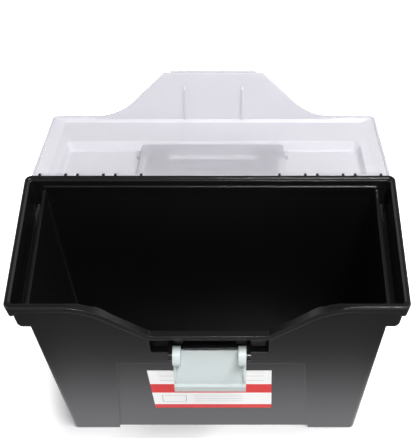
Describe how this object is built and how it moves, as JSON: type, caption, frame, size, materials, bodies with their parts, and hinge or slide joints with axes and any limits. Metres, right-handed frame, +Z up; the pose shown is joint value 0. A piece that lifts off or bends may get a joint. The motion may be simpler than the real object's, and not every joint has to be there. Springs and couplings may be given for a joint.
{
  "type": "portable file box",
  "caption": "Open file box: tapered tub with scooped front and side channels, frosted lid laid back on its hinge, front latch hanging open, folding bail handle.",
  "frame": {"origin": "middle of the tub's base, on the surface it stands on", "axes": "+Z up; +X across the box, to the right seen from the front; +Y to the rear, where the lid's hinge is"},
  "size_m": [0.34, 0.3131, 0.267],
  "materials": {
    "body": "black polypropylene, satin moulded",
    "lid": "frosted clear polypropylene",
    "latch": "pale grey polypropylene, satin",
    "handle": "dark grey polypropylene, satin",
    "label": "printed card, matt"
  },
  "bodies": {
    "box": {"body": "body", "label": "label"},
    "lid": {"lid": "lid"},
    "latch": {"latch": "latch"},
    "handle": {"handle": "handle"}
  },
  "joints": [
    {"name": "lid_hinge", "type": "hinge", "parent": "box", "child": "lid", "pos_m": [0, 0.0755, 0.259], "axis": [1, 0, 0], "range_deg": [0, 201]},
    {"name": "latch_pivot", "type": "hinge", "parent": "box", "child": "latch", "pos_m": [0, -0.07, 0.183], "axis": [-1, 0, 0], "range_deg": [0, 158]},
    {"name": "handle_pivot", "type": "hinge", "parent": "lid", "child": "handle", "pos_m": [0, 0.1448, 0.20932], "axis": [1, 0, 0], "range_deg": [0, 90]}
  ]
}
